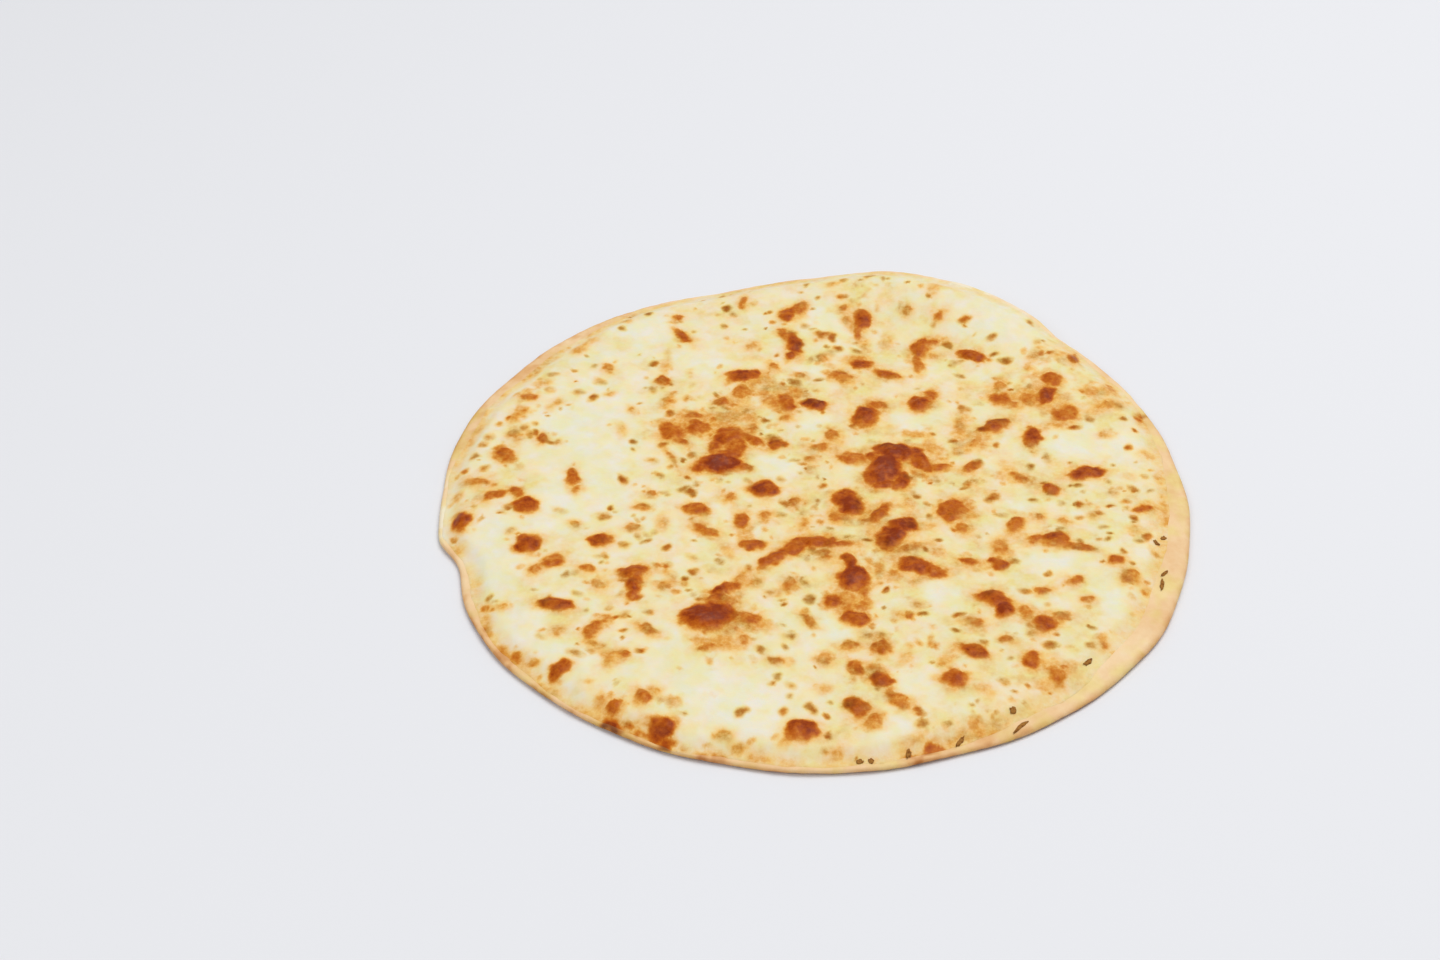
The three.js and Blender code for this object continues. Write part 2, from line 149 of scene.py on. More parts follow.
    (-53, -57, 6, 5, 0, 0.52), (-52, -51, 9, 3, -50, 0.42), (-26, -51.5, 9, 4.5, 75, 0.56),
    (-31.5, -36, 6, 2.5, -60, 0.38), (94, -50, 6, 5.5, 0, 0.68), (20, -80.5, 5, 3.5, 0, 0.46),
    (-30, -88, 5, 4, 0, 0.52), (-53, -111, 4, 3.5, 90, 0.45), (-76, -88, 6, 4, -50, 0.45),
    (-100.5, -48.5, 6, 4.5, 60, 0.62), (-31, -66, 9, 7, 60, 0.66), (18.5, -57.5, 9, 5, 95, 0.62),
    (-20.5, -53.5, 5, 4, 60, 0.5), (4.5, -36.5, 7, 5, 0, 0.55), (12.7, -64, 18, 6, 95, 0.54),
    (-27.7, -79, 11, 6, 40, 0.5), (22.8, -97.7, 8, 5, 6, 0.5),
]

# Golden patches with soft edges, in the same terms
GOLDEN_PATCHES = [
    (-33, 46, 34, 26, 0, 0.34), (-20, 65, 26, 16, -20, 0.44), (-54, 44, 20, 18, 0, 0.34),
    (-60, 80, 24, 7, 88, 0.16), (-116, 42, 26, 9, 92, 0.32), (-114, 62, 18, 10, 65, 0.42),
    (39, 9, 20, 8, -56, 0.6), (44, 29, 22, 14, -50, 0.4), (22.7, -40, 34, 9, 90, 0.62),
    (-34, -86, 20, 9, -10, 0.42), (57, -122, 9, 8, 45, 0.5), (-25, -27, 12, 8, 90, 0.28),
    (-16, -77, 26, 8, -40, 0.22), (103, -77, 11, 7, 80, 0.3), (14, 121, 18, 7, 0, 0.36),
    (114, 62, 18, 14, 20, 0.26), (75, 8, 26, 12, 0, 0.28), (59, 29, 22, 14, 60, 0.18),
    (44, -84, 14, 6, 88, 0.62), (-6, -133, 12, 7, 0, 0.22), (-46, -120, 20, 10, -30, 0.3),
    (-60, -122, 40, 12, -25, 0.18), (82, -98, 40, 16, 30, 0.2), (90, 64, 40, 30, 0, 0.26),
    (-62, -52, 16, 12, 0, 0.3), (-8, 62, 15, 11, 91, 0.6), (-34, 42, 16, 14, 0, 0.2),
    (97, 85, 16, 10, 0, 0.36), (18, -60, 18, 9, 95, 0.6), (-29, -66, 14, 10, 60, 0.4),
    (-8, -56, 14, 12, 0, 0.26), (-47, 61, 18, 14, 90, 0.24), (-48, -117, 16, 12, 0, 0.2),
]

# Smooth pale stretches of cheese: x and y of the middle, length, width and turn
PALE_STRETCHES = [
    (-86, 24, 118, 42, 88), (-68, 102, 34, 26, 60), (-28, -113, 74, 46, -32), (79, 108, 60, 38, -32),
    (108, 32, 50, 26, 0), (-120, -38, 56, 26, 95), (88, -39, 32, 22, 0), (107, -60, 22, 20, 0),
    (-14, 14, 26, 22, 0), (2, 42, 18, 16, 0), (35, 44, 20, 18, 0), (5, 110, 22, 22, 0),
    (36, -102, 22, 22, 0), (6, -80, 20, 16, 0), (60, 101, 20, 14, 30), (3, 79, 10, 18, 0),
    (101, -9, 14, 10, 0), (-20, -92, 12, 9, 0), (75, -7, 10, 8, 0), (46, -55, 22, 16, 0),
    (30, -128, 24, 16, 0), (-36, -15, 18, 16, 0), (-45, 82, 28, 20, 0), (-88, -98, 36, 24, 0),
    (-102, -78, 22, 20, 0),
]

# Small spots that are scattered by a seeded draw, in loose groups and hardly where the cheese is pale
SMALL_SPOTS = 640
SPOT_LENGTHS = (1.6, 6)
SPOT_ROUNDNESS = (0.55, 0.9)
SPOT_TONES = (0.36, 0.74)
SPOT_TONE_POWER = 1.5
SPOT_INSET = 2
SPOT_GROUP_SIZE = 24
SPOT_CROWDING = 0.55
SPOT_CROWDING_SWING = 0.45
SPOT_PALE_SHARE = 0.92

PALE_FADE = (0.4, 1.1)


def smooth_step(value, start, end):
    """0 up to the start, 1 from the end on, and smooth between."""
    share = np.clip((value - start) / (end - start), 0, 1)
    return share * share * (3 - 2 * share)


LATTICE_CELLS = 128
LEVEL_SEED_STEP = 7
CREASE_WIDTH = 0.16


def noise(x, y, size, seed):
    """A smooth random field from about -1 to 1 whose features have the given size."""
    cells = LATTICE_CELLS
    lattice = np.random.default_rng(SEED + seed).uniform(-1, 1, (cells, cells))
    column, row = np.floor(x / size).astype(int), np.floor(y / size).astype(int)
    across = smooth_step(x / size - column, 0, 1)
    along = smooth_step(y / size - row, 0, 1)

    def corner(right, up):
        return lattice[(column + right) % cells, (row + up) % cells]

    lower = corner(0, 0) * (1 - across) + corner(1, 0) * across
    upper = corner(0, 1) * (1 - across) + corner(1, 1) * across
    return lower * (1 - along) + upper * along


def fractal(x, y, size, seed, octaves=3):
    """Noise with finer and weaker noise on top."""
    layers = [noise(x, y, size / 2**i, seed + i) / 2**i for i in range(octaves)]
    return sum(layers) / sum(1 / 2**i for i in range(octaves))


def stacked(x, y, z, size, seed):
    """Noise in space, blended from flat fields that are one size apart in height."""
    level = np.maximum(z, 0) / size
    floor = np.floor(level)
    share = smooth_step(level - floor, 0, 1)
    total = np.zeros_like(level)
    for k in range(int(floor.max()) + 2):
        weight = (floor == k) * (1 - share) + (floor + 1 == k) * share
        total += weight * fractal(x, y, size, seed + LEVEL_SEED_STEP * k)
    return total


def layered(x, y, layers):
    """A sum of random fields, each given as amount, size of its features and seed."""
    return sum(amount * fractal(x, y, size, seed) for amount, size, seed in layers)


def creases(x, y, size, seed):
    """Thin lines, 1 along their middle, that wander over the surface."""
    return 1 - smooth_step(abs(fractal(x, y, size, seed, octaves=2)), 0, CREASE_WIDTH)


def even_angles(count):
    return np.arange(count) * 2 * math.pi / count


def polar(radius, angle):
    return radius * np.cos(angle), radius * np.sin(angle)


def degrees_from(at, angle):
    """Degrees from one direction, given in degrees, to others in radians, from -180 to 180."""
    return (np.degrees(angle) - at + 180) % 360 - 180


def round_smooth(values, passes):
    """Evens out values that run round a circle."""
    values = np.array(values)
    for _ in range(passes):
        values = (np.roll(values, 1) + 2 * values + np.roll(values, -1)) / 4
    return values


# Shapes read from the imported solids


FAR = 400


def mesh_tree(mesh):
    """A mesh that rays can hit, in millimetres."""
    points = [vertex.co / MM for vertex in mesh.vertices]
    return BVHTree.FromPolygons(points, [face.vertices for face in mesh.polygons])


def hit_from_above(tree, x, y):
    return tree.ray_cast(Vector((x, y, FAR)), Vector((0, 0, -1)))[0]


class Solid:
    """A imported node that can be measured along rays, in millimetres."""

    ANGLES = np.radians(np.arange(0, 360, 0.5))
    SEARCH_STEPS = 16
    LEVELS = 60
    OUTLINE_PASSES = 3
    WAIST_PASSES = 12

    def __init__(self, node):
        self.tree = mesh_tree(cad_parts[node].data)
        self.low, self.high = (corner.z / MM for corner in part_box(node))
        self.radii = round_smooth([self.find_radius(angle) for angle in self.ANGLES], self.OUTLINE_PASSES)

    def find_radius(self, angle):
        """How far out the solid reaches at an angle."""
        inside, outside = 0, FAR
        for _ in range(self.SEARCH_STEPS):
            middle = (inside + outside) / 2
            if hit_from_above(self.tree, middle * math.cos(angle), middle * math.sin(angle)):
                inside = middle
            else:
                outside = middle
        return inside

    def radius(self, angle):
        return np.interp(angle, self.ANGLES, self.radii, period=2 * math.pi)

    def waist(self, angles):
        """Height at which the solid reaches furthest out, at each angle."""
        heights = []
        for angle in angles:
            outward = Vector((math.cos(angle), math.sin(angle), 0))
            hits = []
            for z in np.linspace(self.low, self.high, self.LEVELS):
                hit = self.tree.ray_cast(outward * FAR + Vector((0, 0, z)), -outward)[0]
                if hit and hit.dot(outward) > 0:
                    hits.append(hit)
            heights.append(max(hits, key=lambda hit: hit.xy.length).z)
        return round_smooth(heights, self.WAIST_PASSES)

    def top(self, x, y):
        """Height of the top over each place. Beside the solid it is the height of the nearest point."""
        heights = []
        for place in zip(x, y):
            hit = hit_from_above(self.tree, *place)
            if not hit:
                hit = self.tree.find_nearest(Vector((*place, self.high)))[0]
            heights.append(hit.z)
        return np.array(heights)


# Browning of the cheese


def ellipse_distance(x, y, place):
    """Distance from the middle of a turned ellipse, 1 at its edge."""
    middle_x, middle_y, length, width, turn = place[:5]
    cos, sin = math.cos(math.radians(turn)), math.sin(math.radians(turn))
    along = (x - middle_x) * cos + (y - middle_y) * sin
    across = (y - middle_y) * cos - (x - middle_x) * sin
    return np.hypot(along / (length / 2), across / (width / 2))


def paleness(x, y):
    """How far places lie in the pale stretches, from 0 to 1."""
    return np.max([1 - smooth_step(ellipse_distance(x, y, p), *PALE_FADE) for p in PALE_STRETCHES], axis=0)


def small_spots(cheese):
    """Seeded small browned spots, closer together where the cheese isn't pale."""
    draw = np.random.default_rng(SEED)
    spots = []
    while len(spots) < SMALL_SPOTS:
        angle = draw.uniform(0, 2 * math.pi)
        radius = math.sqrt(draw.uniform()) * (cheese.radius(angle) - SPOT_INSET)
        place = np.array([radius * math.cos(angle)]), np.array([radius * math.sin(angle)])
        crowding = SPOT_CROWDING + SPOT_CROWDING_SWING * noise(*place, SPOT_GROUP_SIZE, seed=40)[0]
        if draw.uniform() > crowding * (1 - SPOT_PALE_SHARE * paleness(*place)[0]):
            continue
        length = draw.uniform(*SPOT_LENGTHS)
        width = length * draw.uniform(*SPOT_ROUNDNESS)
        turn = draw.uniform(0, 180)
        tone = SPOT_TONES[0] + np.ptp(SPOT_TONES) * draw.uniform() ** SPOT_TONE_POWER
        spots.append((place[0][0], place[1][0], length, width, turn, tone))
    return spots


def raise_to(values, near, least):
    values[near] = np.maximum(values[near], least)


# Wrinkles of the browned cheese, in its colour and its relief
WRINKLES = {"size": 7, "seed": 95}

# What is added to the tint to mark a painted sheen, a mauve highlight on the widest blisters
SHEEN_TINT = 2

# Uneven edges: size and amount of the unevenness, which is less on narrow places
WARPS = ((6, 1.0), (2.6, 0.9))
LEAST_WARP = 0.3
WARP_WIDTH = 8

# A blister's edge and its darker crown, which is moved towards the far side as painted shade, with fades
# from inside the edge to outside
BLISTER_FADE = (-0.8, 1.5)
BLISTER_EDGE = 0.7
CROWN_WANDER = 0.1
# How far the crown moves towards the far side, which paints shade there
FAR_SIDE_SHADE_SHIFT = 0.06
CROWN_START = -0.6
CROWN_END_SHARE = 0.22

# Light and narrow blisters are more olive
LIGHT_OLIVE = 0.4
OLIVE_WIDTH = 6
RICHER_BY_WIDTH = 0.03
RICH_TONES = (0.5, 0.75)

# The widest blisters get a painted sheen, a mauve highlight on top. The fade is in shares of the width.
SHEEN_WIDTH = 12
SHEEN_FADE = (-0.4, -0.08)

# A painted lit skirt, lighter than the crown, on a blister's near side, and a glow all round it
LIT_SKIRT_SHIFT = 0.15
LIT_SKIRT_TONE = 0.5
LIT_SKIRT_FADE = (-1.8, 1.4)
HALO = 0.24
HALO_REACH = 1.2
HALO_BY_WIDTH = 0.05
HALO_POWER = 1.5

# Height as a share of the width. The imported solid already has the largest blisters.
DOME_SHARE = 0.11
CAD_WIDTH = 8
CAD_DOME_SHARE = 0.05
DOME_EDGE = 0.5

# A golden speck beside each blister, this many half lengths away
SPECK_AWAY = (1.2, 1.9)
SPECK_LENGTHS = (1.6, 3.6)
SPECK_ROUNDNESS = (0.5, 0.9)
SPECK_TONES = (0.3, 0.46)
SPECK_FADE = (-0.6, 0.9)

# Small spots: softness as a share of the width, and how olive they are at most
SPOT_BLUR = 0.4
SPOT_OLIVE = 0.6

# Golden patches: fade in shares of half the width, and the veins that break them up
PATCH_FADE = (-0.9, 0.5)
PATCH_STRENGTH = 1.4
VEIN_SIZE = 5
VEIN_SHARE = 1.1
VEIN_FADE = (0.3, 1.5)

# The ground between these places: its tone, and what the left, the middle and clouds add
GROUND = 0.1
LEFT_TONE = -0.03
LEFT_FADE = (30, 100)
MIDDLE_TONE = 0.05
MIDDLE = (36, 5)
MIDDLE_SPREAD = (70, 80)
CLOUD_TONE = 0.1
CLOUD_SIZE = 6
CLOUD_FADE = (-0.1, 0.55)
GROUND_LAYERS = ((0.05, 16, 60), (0.08, 6, 63))
PALE_WARP = 2
PALE_LOSS = 0.75

# Ground and patches together darken more slowly above the limit
SOFT_LIMIT = 0.36
SOFT_SLOPE = 0.35

# How much of a browned place's tone shows
BURNT = 0.98
BURNT_LAYERS = ((0.24, 4.2, 65),)
WRINKLE_TONE = 0.05

# The tint, and what patches, glows and olive places add to it
TINT = 0.5
TINT_LAYERS = ((0.8, 9, 85), (0.6, 4, 88))
PATCH_TINT = 0.8
GLOW_TINT = 0.4
OLIVE_TINT = -0.8


class Browning:
    """How brown the cheese is at given places, which tint it has, and how far its blisters stand out."""

    def __init__(self, x, y):
        self.x, self.y = x, y
        self.warp_x, self.warp_y = self.warp(seed=10), self.warp(seed=20)
        self.clear = np.ones_like(x)
        self.core, self.olive, self.glow, self.mauve, self.dome = np.zeros((5, len(x)))

    def warp(self, seed):
        return sum(step * noise(self.x, self.y, size, seed + i) for i, (size, step) in enumerate(WARPS))

    def near(self, place, reach=4):
        """The points that a place's effect reaches, up to some millimetres past its ends."""
        reach += place[2] / 2
        return np.flatnonzero((abs(self.x - place[0]) < reach) & (abs(self.y - place[1]) < reach))

    def outside(self, near, place):
        """Distance of points out of a place's uneven edge, in millimetres."""
        warp = min(1, LEAST_WARP + place[3] / WARP_WIDTH)
        x = self.x[near] + warp * self.warp_x[near]
        y = self.y[near] + warp * self.warp_y[near]
        return (ellipse_distance(x, y, place) - 1) * place[3] / 2

    def add_blister(self, place, draw):
        """A blister is darkest at its crown, which lies towards its far side as painted shade, and orange
        at its edge.
        """
        width, tone = place[3], place[5]
        near = self.near(place)
        out = self.outside(near, place)
        shift = draw.uniform(-CROWN_WANDER, CROWN_WANDER, 2) * width
        # Painted shade: the darkest part is moved towards the far side
        crown = (place[0] + shift[0], place[1] + shift[1] + FAR_SIDE_SHADE_SHIFT * width, *place[2:5])
        depth = smooth_step(-self.outside(near, crown), CROWN_START, CROWN_END_SHARE * width)
        shade = BLISTER_EDGE + (1 - BLISTER_EDGE) * depth
        filled = 1 - smooth_step(out, *BLISTER_FADE)
        raise_to(self.core, near, tone * shade * filled)
        rich = smooth_step(tone + RICHER_BY_WIDTH * (width - OLIVE_WIDTH), *RICH_TONES)
        raise_to(self.olive, near, LIGHT_OLIVE * (1 - rich) * filled)
        # Painted sheen: a mauve highlight on the crest of the widest blisters
        if width >= SHEEN_WIDTH:
            crest = 1 - smooth_step(out, *(share * width for share in SHEEN_FADE))
            raise_to(self.mauve, near, crest)
        # Painted light: a lighter orange skirt only on the near side, as if that side were lit
        lit_skirt = (place[0] + 2 * shift[0], place[1] - LIT_SKIRT_SHIFT * width, *place[2:5])
        around = 1 - smooth_step(self.outside(near, lit_skirt), *LIT_SKIRT_FADE)
        raise_to(self.core, near, LIT_SKIRT_TONE * tone * around)
        share = DOME_SHARE if width < CAD_WIDTH else CAD_DOME_SHARE
        dome = share * width * (1 - smooth_step(out, -width / 2, DOME_EDGE))
        raise_to(self.dome, near, dome)

    def add_halo(self, place):
        """A soft glow round a blister."""
        reach = HALO_REACH + HALO_BY_WIDTH * place[3]
        near = self.near(place, reach=3 * reach)
        out = np.maximum(self.outside(near, place), 0)
        glow = np.exp(-((out / reach) ** HALO_POWER))
        self.clear[near] *= 1 - HALO * glow
        raise_to(self.glow, near, glow)

    def add_speck(self, place, draw):
        """A golden speck close to a blister."""
        angle = draw.uniform(0, 2 * math.pi)
        away = draw.uniform(*SPECK_AWAY)
        x = place[0] + away * place[2] / 2 * math.cos(angle)
        y = place[1] + away * place[2] / 2 * math.sin(angle)
        length = draw.uniform(*SPECK_LENGTHS)
        width = length * draw.uniform(*SPECK_ROUNDNESS)
        turn = draw.uniform(0, 180)
        tone = draw.uniform(*SPECK_TONES)
        speck = (x, y, length, width, turn)
        near = self.near(speck, reach=3)
        filled = 1 - smooth_step(self.outside(near, speck), *SPECK_FADE)
        raise_to(self.core, near, tone * filled)
        raise_to(self.glow, near, filled)

    def add_spot(self, place, draw):
        """A small spot with a soft edge."""
        width, tone = place[3], place[5]
        near = self.near(place)
        blur = SPOT_BLUR * width
        filled = 1 - smooth_step(self.outside(near, place), -blur, blur)
        raise_to(self.core, near, tone * filled)
        raise_to(self.olive, near, draw.uniform(0, SPOT_OLIVE) * filled)

    def add_patch(self, place):
        """A golden patch that is broken up by veins."""
        half, strength = place[3] / 2, place[5]
        near = self.near(place, reach=8)
        inside = 1 - smooth_step(self.outside(near, place), *(share * half for share in PATCH_FADE))
        uneven = VEIN_SHARE * fractal(self.x[near], self.y[near], VEIN_SIZE, seed=50)
        veins = smooth_step(uneven + inside, *VEIN_FADE)
        self.clear[near] *= 1 - PATCH_STRENGTH * strength * veins

    def ground(self):
        """Tone of the cheese apart from its browned places."""
        x, y = self.x, self.y
        left = smooth_step(-x, *LEFT_FADE)
        from_middle_x = (x - MIDDLE[0]) / MIDDLE_SPREAD[0]
        from_middle_y = (y - MIDDLE[1]) / MIDDLE_SPREAD[1]
        middle = np.exp(-(from_middle_x**2) - from_middle_y**2)
        clouds = smooth_step(fractal(x, y, CLOUD_SIZE, seed=67), *CLOUD_FADE)
        pale = paleness(x + PALE_WARP * self.warp_x, y + PALE_WARP * self.warp_y)
        tone = GROUND + LEFT_TONE * left + MIDDLE_TONE * middle + CLOUD_TONE * clouds
        return tone * (1 - PALE_LOSS * pale) + layered(x, y, GROUND_LAYERS)

    def value(self):
        """How brown the cheese is, from 0 to 1."""
        soft = 1 - (1 - np.clip(self.ground(), 0, 1)) * self.clear
        soft = np.minimum(soft, SOFT_LIMIT + SOFT_SLOPE * (soft - SOFT_LIMIT))
        wrinkles = WRINKLE_TONE * creases(self.x, self.y, **WRINKLES)
        burnt = BURNT + layered(self.x, self.y, BURNT_LAYERS) + wrinkles
        return np.clip(np.maximum(soft, self.core * burnt), 0, 1)

    def tint_and_sheen(self):
        """From olive at 0 to peachy at 1, and up to 3 where a painted mauve sheen lies on top."""
        patches = PATCH_TINT * (1 - self.clear)
        hue = TINT + layered(self.x, self.y, TINT_LAYERS) + patches
        hue = hue + GLOW_TINT * self.glow + OLIVE_TINT * self.olive
        return np.clip(hue, 0, 1) + SHEEN_TINT * self.mauve


def browning_of(cheese, x, y):
    """Browning with all the patches, blisters and spots added."""
    draw = np.random.default_rng(SEED + 2)
    browning = Browning(x, y)
    for place in GOLDEN_PATCHES:
        browning.add_patch(place)
    for place in BLISTERS:
        browning.add_blister(place, draw)
        browning.add_halo(place)
        browning.add_speck(place, draw)
    for place in small_spots(cheese):
        browning.add_spot(place, draw)
    return browning


# Meshes


def disc_rings(count):
    """Rings of 6, 12, 18 and so on points round a middle: sizes, shares of the radius, and angles."""
    sizes = [1] + [6 * ring for ring in range(1, count + 1)]
    shares = np.concatenate([np.full(size, ring / count) for ring, size in enumerate(sizes)])
    angles = np.concatenate([even_angles(size) for size in sizes])
    return sizes, shares, angles


def ring_faces(sizes):
    """Triangles between neighbouring rings whose counts of points may differ. A ring of one is a pole."""
    faces = []
    start = 0
    for inner, outer in zip(sizes, sizes[1:]):
        i = j = 0
        inner_steps, outer_steps = (0 if inner == 1 else inner), (0 if outer == 1 else outer)
        while i < inner_steps or j < outer_steps:
            corner = start + i % inner, start + inner + j % outer
            if i == inner_steps or (j < outer_steps and (j + 1) * inner <= (i + 1) * outer):
                j += 1
                faces.append((*corner, start + inner + j % outer))
            else:
                i += 1
                faces.append((*corner, start + i % inner))
        start += inner
    return faces


def make_object(name, data):
    thing = bpy.data.objects.new(name, data)
    bpy.context.scene.collection.objects.link(thing)
    return thing


def make_mesh(name, points, faces, material):
    """A mesh object from points in millimetres."""
    mesh = bpy.data.meshes.new(name)
    mesh.from_pydata((np.asarray(points) * MM).tolist(), [], faces)
    mesh.materials.append(material)
    return make_object(name, mesh)


def make_piece(name, points, faces, material):
    """A smooth mesh object that is part of the pizza."""
    piece = make_mesh(name, points, faces, material)
    piece.data.shade_smooth()
    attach(piece, "root")
    return piece


def add_attribute(piece, name, values):
    attribute = piece.data.attributes.new(name, "FLOAT", "POINT")
    attribute.data.foreach_set("value", np.asarray(values, np.float32))


def smooth_heights(heights, faces, passes):
    """Evens out the heights of a mesh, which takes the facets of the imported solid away."""
    ends = np.array([(a, b) for face in faces for a, b in zip(face, face[1:] + face[:1])])
    counts = np.bincount(ends[:, 0], minlength=len(heights))
    for _ in range(passes):
        sums = np.bincount(ends[:, 0], weights=heights[ends[:, 1]], minlength=len(heights))
        heights = 0.5 * heights + 0.5 * sums / counts
    return heights


def middle_point(solid):
    return [[0, 0, solid.top([0], [0])[0]]]


# Unevenness of the bare dough, in millimetres, which starts just inside the cheese's edge
RIM_RELIEF_START = (-2, 1)
RIM_WAVES = 0.3
RIM_GRAIN = 0.12


def rim_relief(x, y, past_cheese):
    relief = RIM_WAVES * fractal(x, y, 9, seed=120) + RIM_GRAIN * noise(x, y, 2.4, seed=125)
    return smooth_step(past_cheese, *RIM_RELIEF_START) * relief


# Relief of the cheese in millimetres: slow waves, fine grain, and bubbles and wrinkles where it is brown
WAVES = 0.3
GRAIN = 0.06
CRISP_TONES = (0.5, 0.8)
CRISP_RISE = 0.1
CRISP_BUBBLES = 0.6
CRISP_WRINKLES = 0.2


def cheese_relief(x, y, browning, brown):
    """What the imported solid's top doesn't have: small blisters, unevenness and crisp places."""
    waves = WAVES * fractal(x, y, 11, seed=70)
    grain = GRAIN * noise(x, y, 2.2, seed=75)
    bubbles = CRISP_BUBBLES * fractal(x, y, 3.6, seed=80, octaves=2)
    crisp = CRISP_RISE + bubbles - CRISP_WRINKLES * creases(x, y, **WRINKLES)
    return browning.dome + waves + grain + smooth_step(brown, *CRISP_TONES) * crisp


# The edge of the cheese, which runs out onto the dough and is toasted like the rim
EDGE_WIDTH = 7
EDGE_HEIGHT = 0.1
EDGE_RIPPLE = 0.9
RIPPLE_RADIUS = 143
EDGE_WANDER = 3
EDGE_LIGHTER = 0.05
EDGE_TINT = 0.4

# Where it is toasted further in: direction, extra width, and spread in degrees
PEACH_SIDE = 307
PEACH_WIDTH = 11
PEACH_SPREAD = 26


def edge_toast(x, y, inset, angle):
    """How far the cheese has the rim's colour, from 0 to 1."""
    width = EDGE_WIDTH + PEACH_WIDTH * np.exp(-((degrees_from(PEACH_SIDE, angle) / PEACH_SPREAD) ** 2))
    return 1 - smooth_step(inset + EDGE_WANDER * fractal(x, y, 8, seed=93), 0, width)


# Below the edge: steps out and down, then rings on the dough with so many times fewer points
LIP_STEPS = ((0.3, 0.15), (0.5, 0.45))
UNDER_CHEESE_RINGS = ((0.98, 2), (0.75, 6), (0.4, 18))


def lip_ring(edge, angle, step, drop):
    return edge + np.stack([*polar(step, angle), np.full(len(angle), -drop)], axis=1)


def under_ring(cheese, crust, share, count):
    """A ring of points under the cheese, on the dough."""
    angle = even_angles(count)
    x, y = polar(share * cheese.radius(angle), angle)
    return np.stack([x, y, crust.top(x, y)], axis=1)


CHEESE_RINGS = 174
FACET_PASSES = 26


def cheese_layer(cheese, crust, material):
    """The melted cheese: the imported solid's top without its facets, with small blisters and wrinkles."""
    sizes, share, angle = disc_rings(CHEESE_RINGS)
    edge = cheese.radius(angle)
    radius = share * edge
    x, y = polar(radius, angle)
    height = smooth_heights(cheese.top(x, y), ring_faces(sizes), FACET_PASSES)

    browning = browning_of(cheese, x, y)
    brown = browning.value()
    inset = edge - radius
    border = 1 - smooth_step(inset, 0, EDGE_WIDTH)
    height = height + cheese_relief(x, y, browning, brown) * (1 - border)
    outer = np.flatnonzero(inset < EDGE_WIDTH)
    dough = crust.top(x[outer], y[outer]) + EDGE_HEIGHT + rim_relief(x[outer], y[outer], -inset[outer])
    height[outer] += border[outer] * (dough - height[outer])

    toasted = edge_toast(x, y, inset, angle)
    brown = np.maximum(brown, toasted * (rim_toast(x, y, height) - EDGE_LIGHTER))
    tint_and_sheen = browning.tint_and_sheen() + EDGE_TINT * toasted

    ripple = border * EDGE_RIPPLE * fractal(*polar(RIPPLE_RADIUS, angle), 9, seed=90)
    x, y = x + ripple * np.cos(angle), y + ripple * np.sin(angle)
    top = np.stack([x, y, height], axis=1)
    rim = slice(-sizes[-1], None)
    lip = [lip_ring(top[rim], angle[rim], step, drop) for step, drop in LIP_STEPS]
    under = [under_ring(cheese, crust, at, sizes[-1] // fewer) for at, fewer in UNDER_CHEESE_RINGS]
    under.append(middle_point(crust))
    sizes += [len(ring) for ring in lip + under]
    piece = make_piece("cheese_layer", np.concatenate([top, *lip, *under]), ring_faces(sizes), material)
    unseen = np.zeros(sum(len(ring) for ring in under))
    for name, values in (("browning", brown), ("tint_and_sheen", tint_and_sheen)):
        add_attribute(piece, name, np.concatenate([values, *[values[rim]] * len(lip), unseen]))
    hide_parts("cheese")
    return piece


RIM_POINTS = 1100
RIM_PASSES = 8
TOP_SHARES = (0.3, 0.6, 0.8, 0.9)
UNDER_CHEESE = 5
RIM_STEPS = 16
SHOULDER_WIDTH = 3
SHOULDER_SHARE = 0.6
SHOULDER_STEPS = 8
UNDER_CURVE_WIDTH = 10
UNDER_STEPS = 12
UNDER_RINGS = 24


def dough_rings(crust, angle, cheese_edge, waist):
    """Rings out over the rim, round the side and back in: radius, height and how far it is on the side."""
    outline = crust.radius(angle)
    shoulder = outline - np.minimum(SHOULDER_WIDTH, SHOULDER_SHARE * (outline - cheese_edge))
    start = cheese_edge - UNDER_CHEESE
    flat = np.zeros(len(angle))

    def top_ring(radius):
        return radius, round_smooth(crust.top(*polar(radius, angle)), RIM_PASSES), flat

    rings = [top_ring(share * start) for share in TOP_SHARES]
    rings += [top_ring(start + share * (shoulder - start)) for share in np.linspace(0, 1, RIM_STEPS)]
    crest = rings[-1][1]
    for turn in np.linspace(0, math.pi / 2, SHOULDER_STEPS + 1)[1:]:
        radius = shoulder + (outline - shoulder) * math.sin(turn)
        rings.append((radius, waist + (crest - waist) * math.cos(turn), flat + math.sin(turn) ** 2))
    for turn in np.linspace(0, math.pi / 2, UNDER_STEPS + 1)[1:]:
        radius = outline - UNDER_CURVE_WIDTH * (1 - math.cos(turn))
        rings.append((radius, waist * (1 - math.sin(turn)), flat + 1))
    for share in np.linspace(1, 0, UNDER_RINGS, endpoint=False)[1:]:
        rings.append((share * (outline - UNDER_CURVE_WIDTH), flat, flat))
    return rings


# Heights where the relief starts, and from which the underside's colour fades up to the waist
RELIEF_HEIGHTS = (0.3, 1.2)
UNDERSIDE_HEIGHT = 0.1

# The side is darker than the rim, in uneven patches: partly more toasted, partly painted shade
SIDE_TOAST_AND_SHADE = 0.24
SIDE_SHARE = 0.6
SIDE_PATCH_SIZE = 6


